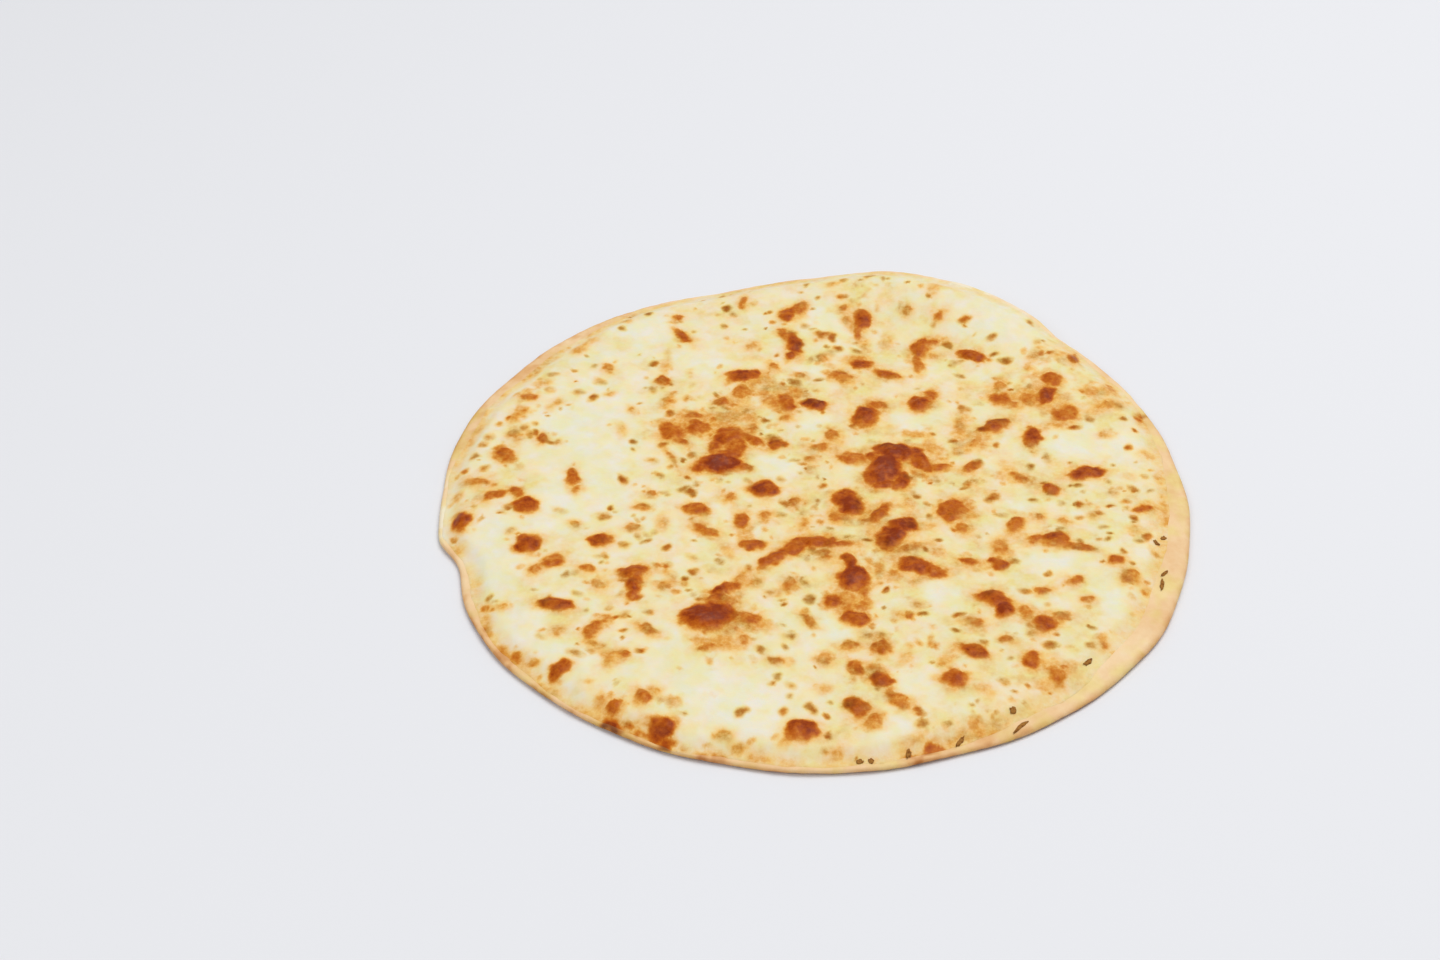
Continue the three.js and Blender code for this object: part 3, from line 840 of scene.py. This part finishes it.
def dough_base(cheese, crust, material):
    """The dough: bare rim, rounded shoulder, side and underside."""
    angle = even_angles(RIM_POINTS)
    cheese_edge, waist = cheese.radius(angle), crust.waist(angle)
    rings = dough_rings(crust, angle, cheese_edge, waist)
    radius, height, side = (np.concatenate(values) for values in zip(*rings))
    angles, edges, waists = (np.tile(values, len(rings)) for values in (angle, cheese_edge, waist))
    x, y = polar(radius, angles)
    height = height + rim_relief(x, y, radius - edges) * smooth_step(height, *RELIEF_HEIGHTS)
    points = np.concatenate([middle_point(crust), np.stack([x, y, height], axis=1), [[0, 0, 0]]])
    piece = make_piece("dough_base", points, ring_faces([1] + [RIM_POINTS] * len(rings) + [1]), material)

    x, y, z = points.T
    waists = np.concatenate([waist[:1], waists, waist[:1]])
    patches = SIDE_SHARE + stacked(x, y, TOAST_STRETCH * z, SIDE_PATCH_SIZE, seed=130)
    side = np.clip(np.concatenate([[0], side, [0]]) * patches, 0, 1)
    # The side's darkening is partly toast and partly painted shade
    add_attribute(piece, "toast", rim_toast(x, y, z) + SIDE_TOAST_AND_SHADE * side)
    add_attribute(piece, "underside", 1 - smooth_step(z, UNDERSIDE_HEIGHT, waists))
    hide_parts("crust")
    return piece


# How toasted the rim is round the outline, with a painted shadow line on the far edge at 98 degrees: middle
# and half width in degrees, and amount
RIM_TOAST = [
    (135, 24, 0.14), (168, 10, 0.1), (186, 9, -0.45), (194.5, 2, 0.3), (214, 9, 0.22), (230, 14, 0.14),
    (245, 8, 0.6), (260, 10, 0.15), (287, 4, 0.36), (297, 9, 0.1), (21, 2, 0.5), (62, 20, -0.2),
    # The row at 98 degrees is a painted shadow line along the far edge
    (98, 4, 0.2), (106, 10, -0.1),
]

# The rest of the rim, the patches in which those amounts show, and how many times height counts
TOAST = 0.3
TOAST_SWING = 0.14
TOAST_SIZE = 9
TOAST_PATCH_SIZE = 6
TOAST_PATCH_RANGE = (-0.2, 0.4)
TOAST_PATCH_LEAST = 0.3
TOAST_PATCH_SWING = 1.2
TOAST_STRETCH = 2


def rim_toast(x, y, z):
    """How toasted the dough is at given places, from 0 to 1."""
    level = TOAST_STRETCH * z
    toast = TOAST + TOAST_SWING * stacked(x, y, level, TOAST_SIZE, seed=100)
    patches = smooth_step(stacked(x, y, level, TOAST_PATCH_SIZE, seed=205), *TOAST_PATCH_RANGE)
    patches = TOAST_PATCH_LEAST + TOAST_PATCH_SWING * patches
    for at, half_width, amount in RIM_TOAST:
        away = degrees_from(at, np.arctan2(y, x))
        toast = toast + amount * patches * np.exp(-((away / half_width) ** 2))
    return np.clip(toast, 0, 1)


# Flecks of dried herb: x and y of the middle, length, width and turn
FLECKS = [
    (16.7, -139.7, 2.6, 2, 10), (20.5, -139.2, 2.4, 2, -20), (33, -135.4, 3.8, 1.8, 85),
    (50.5, -129.4, 5, 1.7, 56), (68.9, -115.3, 3, 2.5, 30), (71.5, -121.3, 8, 1.6, 46),
    (96, -91.5, 5.6, 1.4, 45), (125.8, -48.8, 6, 1.6, 78), (127.2, -42.6, 3.6, 1.5, 45),
    (129, -22.8, 2.8, 1.6, 40), (126, -26.4, 3, 2, -45),
]
FLECK_THICKNESS = 0.4
FLECK_SIDES = 14

# How far the ends curl up, and how far the outline is jagged, as a share
FLECK_CURLS = (0.15, 0.4)
FLECK_JAGS = (-0.35, 0.25)

# Rings of a fleck from the top down: height as a share of the thickness, and spread
FLECK_RINGS = ((1, 0.55), (0.5, 1), (-0.2, 0.9))
FLECK_FOOT = -0.2


def fleck_points(place, draw, ground):
    """Rings of points from the top down, then a crown and a foot in the middle."""
    x, y, length, width, turn = place
    cos, sin = math.cos(math.radians(turn)), math.sin(math.radians(turn))
    curl = draw.uniform(*FLECK_CURLS)
    jags = 1 + draw.uniform(*FLECK_JAGS, FLECK_SIDES)
    points = []
    for level, spread in FLECK_RINGS:
        for jag, around in zip(jags, even_angles(FLECK_SIDES)):
            along = spread * jag * math.cos(around) * length / 2
            across = spread * jag * math.sin(around) * width / 2
            lift = level * FLECK_THICKNESS + curl * (2 * along / length) ** 2
            spot = x + along * cos - across * sin, y + along * sin + across * cos
            points.append((*spot, ground(*spot) + lift))
    points.append((x, y, ground(x, y) + FLECK_THICKNESS))
    points.append((x, y, ground(x, y) + FLECK_FOOT * FLECK_THICKNESS))
    return points


def fleck_faces(start):
    """Faces of a fleck whose points begin at the given number."""
    bottom = start + (len(FLECK_RINGS) - 1) * FLECK_SIDES
    crown = bottom + FLECK_SIDES
    foot = crown + 1
    faces = []
    for k in range(FLECK_SIDES):
        after = (k + 1) % FLECK_SIDES
        faces.append((crown, start + k, start + after))
        faces.append((foot, bottom + after, bottom + k))
        for high in range(start, bottom, FLECK_SIDES):
            low = high + FLECK_SIDES
            faces.append((high + k, low + k, low + after, high + after))
    return faces


def herb_flecks(surfaces, material):
    """Small curled leaf scraps that lie on the cheese and the rim."""
    def ground(x, y):
        return max(surface(x, y) for surface in surfaces)

    draw = np.random.default_rng(SEED + 1)
    points, faces = [], []
    for place in FLECKS:
        faces += fleck_faces(len(points))
        points += fleck_points(place, draw, ground)
    piece = make_piece("herb_flecks", points, faces, material)
    return piece


def surface_of(piece):
    """A function that gives the height of a piece's top at a place, or 0 beside it."""
    tree = mesh_tree(piece.data)

    def height(x, y):
        hit = hit_from_above(tree, x, y)
        return hit.z if hit else 0

    return height


# Materials


def linear(red, green, blue):
    """A colour given as it looks on screen, from 0 to 255, as the linear colour that shaders take."""
    def channel(value):
        value /= 255
        return value / 12.92 if value <= 0.04045 else ((value + 0.055) / 1.055) ** 2.4

    return (channel(red), channel(green), channel(blue), 1)


class Shader:
    """A new material with a Principled shader, and short ways to add nodes to it."""

    def __init__(self, name):
        self.material = bpy.data.materials.new(name)
        self.material.use_nodes = True
        self.tree = self.material.node_tree
        self.surface = self.tree.nodes["Principled BSDF"]
        self.place = self.node("TexCoord").outputs["Object"]

    def put(self, value, socket):
        """Sets a socket to a number, or links it to another node's output."""
        if isinstance(value, (int, float)):
            socket.default_value = value
        else:
            self.tree.links.new(value, socket)

    def node(self, kind, **inputs):
        node = self.tree.nodes.new("ShaderNode" + kind)
        for name, value in inputs.items():
            self.put(value, node.inputs[name])
        return node

    def drive(self, socket, output):
        self.put(output, self.surface.inputs[socket])

    def attribute(self, name):
        node = self.node("Attribute")
        node.attribute_name = name
        return node.outputs["Fac"]

    def noise(self, size, detail=2.0, roughness=0.5):
        """Noise about 0.5 with features of the given size in millimetres."""
        scale = 1 / (size * MM)
        node = self.node("TexNoise", Vector=self.place, Scale=scale, Detail=detail, Roughness=roughness)
        return node.outputs["Fac"]

    def math(self, operation, first, second, kind="Math"):
        node = self.node(kind)
        node.operation = operation
        self.put(first, node.inputs[0])
        self.put(second, node.inputs[1])
        return node.outputs[0]

    def vary(self, value, by, amount):
        """The value with noise round 0.5 added, up to about the amount either way."""
        swing = self.math("MULTIPLY", self.math("SUBTRACT", by, 0.5), 2)
        return self.math("ADD", value, self.math("MULTIPLY", swing, amount))

    def ramp(self, value, stops):
        node = self.node("ValToRGB", Fac=value)
        elements = node.color_ramp.elements
        while len(elements) < len(stops):
            elements.new(1)
        for element, (position, colour) in zip(elements, stops):
            element.position = position
            element.color = colour
        return node.outputs["Color"]

    def colour_ramp(self, value, stops):
        return self.ramp(value, [(position, linear(*colour)) for position, *colour in stops])

    def grey_ramp(self, value, stops):
        return self.ramp(value, [(position, (grey, grey, grey, 1)) for position, grey in stops])

    def mix(self, share, first, second):
        node = self.node("Mix")
        node.data_type = "RGBA"
        for name, output in (("Factor", share), ("A", first), ("B", second)):
            self.put(output, next(s for s in node.inputs if s.name == name and s.enabled))
        return next(s for s in node.outputs if s.enabled)

    def bump(self, layers):
        """Bump from (noise, depth in millimetres) layers."""
        normal = None
        for height, depth in layers:
            node = self.node("Bump", Strength=1, Distance=depth * MM, Height=height)
            if normal:
                self.put(normal, node.inputs["Normal"])
            normal = node.outputs["Normal"]
        self.drive("Normal", normal)

    def set(self, **values):
        for name, value in values.items():
            self.surface.inputs[name.replace("_", " ").title().replace("Ior", "IOR")].default_value = value


# Cheese colours by browning, where it is peachy, where it is olive, and a painted mauve sheen on the crests
# of the widest blisters
PEACHY_CHEESE = [
    (0, 238, 229, 218), (0.1, 240, 222, 197), (0.2, 240, 212, 174), (0.32, 239, 195, 134),
    (0.45, 226, 163, 84), (0.58, 209, 130, 48), (0.72, 193, 102, 22), (0.86, 174, 79, 13), (1, 138, 50, 10),
]
OLIVE_CHEESE = [
    (0, 232, 228, 213), (0.1, 233, 223, 189), (0.2, 232, 213, 158), (0.32, 222, 192, 136),
    (0.45, 200, 158, 91), (0.58, 180, 126, 57), (0.72, 166, 98, 25), (0.86, 140, 74, 16), (1, 108, 47, 13),
]
PAINTED_SHEEN_CHEESE = [(0.5, 198, 128, 96), (0.8, 164, 90, 68), (1, 128, 62, 46)]

# How much of these colours is kept, from the yellow to the white places
YELLOWING = [(0.36, (1, 1, 0.74, 1)), (0.64, (0.98, 1, 0.95, 1))]

# By browning: how far fine noise moves it, and how rough the cheese is
RAGGEDNESS = [(0.05, 0.05), (0.25, 0.14), (0.45, 0.26), (0.7, 0.3), (1, 0.2)]
CHEESE_ROUGHNESS = [(0, 0.5), (0.4, 0.43), (0.8, 0.36)]

# Share of the painted sheen by noise, which breaks it up into patchy highlights
SHEEN_WRINKLES = [(0.36, 0.1), (0.62, 0.9)]


def cheese_material():
    shader = Shader("melted_cheese")
    smooth = shader.attribute("browning")
    ragged = shader.grey_ramp(smooth, RAGGEDNESS)
    brown = shader.vary(smooth, by=shader.noise(2, detail=3, roughness=0.65), amount=ragged)
    tint_and_sheen = shader.vary(shader.attribute("tint_and_sheen"), by=shader.noise(5), amount=0.35)
    olive, peachy = shader.colour_ramp(brown, OLIVE_CHEESE), shader.colour_ramp(brown, PEACHY_CHEESE)
    colour = shader.mix(tint_and_sheen, olive, peachy)
    yellowing = shader.ramp(shader.noise(6, detail=1), YELLOWING)
    colour = shader.math("MULTIPLY", colour, yellowing, kind="VectorMath")
    # Painted sheen: a mauve highlight mixed in where the tint goes above its peachy end
    wrinkles = shader.grey_ramp(shader.noise(2.4, detail=3, roughness=0.6), SHEEN_WRINKLES)
    mauve = shader.math("MULTIPLY", shader.math("SUBTRACT", tint_and_sheen, SHEEN_TINT), wrinkles)
    colour = shader.mix(mauve, colour, shader.colour_ramp(brown, PAINTED_SHEEN_CHEESE))
    shader.drive("Base Color", colour)
    shader.drive("Roughness", shader.grey_ramp(brown, CHEESE_ROUGHNESS))
    shader.bump([(shader.noise(3.2, detail=3, roughness=0.55), 0.14), (shader.noise(0.7), 0.03)])
    shader.set(specular_ior_level=0.1, subsurface_weight=0.1, subsurface_scale=0.0015)
    shader.set(subsurface_radius=(1.0, 0.6, 0.3))
    return shader.material


# Dough colours by how toasted it is, where it is peachy and where it is yellow
PEACHY_DOUGH = [
    (0, 241, 228, 202), (0.25, 242, 210, 164), (0.5, 227, 176, 118), (0.75, 190, 120, 60), (1, 132, 72, 32),
]
YELLOW_DOUGH = [
    (0, 238, 230, 194), (0.25, 238, 214, 146), (0.5, 220, 178, 100), (0.75, 184, 120, 54), (1, 128, 72, 30),
]

# Share of yellow, and how much more the underside is toasted, by noise
YELLOW_PLACES = [(0.46, 0), (0.66, 1)]
SCORCHING = [(0.42, 0.12), (0.62, 0.5)]


def dough_material():
    shader = Shader("baked_dough")
    underside = shader.attribute("underside")
    scorch = shader.grey_ramp(shader.noise(9, detail=3, roughness=0.6), SCORCHING)
    toast = shader.math("ADD", shader.attribute("toast"), shader.math("MULTIPLY", underside, scorch))
    toast = shader.vary(toast, by=shader.noise(2.5, detail=3, roughness=0.6), amount=0.08)
    yellow = shader.grey_ramp(shader.noise(11), YELLOW_PLACES)
    colours = shader.colour_ramp(toast, PEACHY_DOUGH), shader.colour_ramp(toast, YELLOW_DOUGH)
    shader.drive("Base Color", shader.mix(yellow, *colours))
    shader.bump([(shader.noise(4, detail=3, roughness=0.55), 0.22), (shader.noise(0.8), 0.06)])
    shader.set(roughness=0.7, specular_ior_level=0.3)
    return shader.material


HERB_COLOURS = [(0.35, 138, 88, 34), (0.5, 168, 116, 52), (0.65, 130, 78, 30)]


def herb_material():
    shader = Shader("dried_herb")
    shader.drive("Base Color", shader.colour_ramp(shader.noise(1.5), HERB_COLOURS))
    shader.bump([(shader.noise(0.6), 0.08)])
    shader.set(roughness=0.8, specular_ior_level=0.15)
    return shader.material


# Stage


FLOOR_HALF_SIZE = 4000
FLOOR_COLOUR = linear(231, 232, 236)
DAYLIGHT = 0.42

# Lights: name, place, size across and power in watts
LIGHTS = [("key", (700, 600, 2200), 2000, 35), ("fill", (-900, -1100, 1500), 1200, 8)]


def make_floor():
    shader = Shader("floor")
    shader.set(base_color=FLOOR_COLOUR, roughness=0.7, specular_ior_level=0.2)
    corners = np.array([(-1, -1, 0), (1, -1, 0), (1, 1, 0), (-1, 1, 0)]) * FLOOR_HALF_SIZE
    make_mesh("floor", corners, [(0, 1, 2, 3)], shader.material)


def make_light(name, place, size, power):
    """A round soft light that faces the pizza."""
    light = bpy.data.lights.new(name, "AREA")
    light.shape = "DISK"
    light.size = size * MM
    light.energy = power
    lamp = make_object(name, light)
    lamp.location = Vector(place) * MM
    lamp.rotation_euler = Vector(place).to_track_quat("Z", "Y").to_euler()


def light_stage():
    world = bpy.data.worlds.new("studio")
    world.use_nodes = True
    background = world.node_tree.nodes["Background"]
    background.inputs["Color"].default_value = (1, 1, 1, 1)
    background.inputs["Strength"].default_value = DAYLIGHT
    bpy.context.scene.world = world
    for light in LIGHTS:
        make_light(*light)
    bpy.context.scene.view_settings.view_transform = "Standard"


def make_camera():
    data = bpy.data.cameras.new("camera")
    data.lens = CAMERA_LENS
    data.sensor_width = CAMERA_SENSOR
    camera = make_object("camera", data)
    elevation, azimuth = math.radians(CAMERA_ELEVATION), math.radians(CAMERA_AZIMUTH)
    sight = Vector((
        math.cos(elevation) * math.sin(azimuth),
        math.cos(elevation) * math.cos(azimuth),
        -math.sin(elevation),
    ))
    turn = sight.to_track_quat("-Z", "Y").to_matrix() @ Matrix.Rotation(math.radians(-CAMERA_ROLL), 3, "Z")
    camera.location = (Vector(CAMERA_AIM) - sight * CAMERA_DISTANCE) * MM
    camera.rotation_euler = turn.to_euler()
    bpy.context.scene.camera = camera


def main():
    make_camera()
    make_floor()
    light_stage()
    cheese, crust = Solid("cheese"), Solid("crust")
    layer = cheese_layer(cheese, crust, cheese_material())
    base = dough_base(cheese, crust, dough_material())
    herb_flecks([surface_of(layer), surface_of(base)], herb_material())


main()
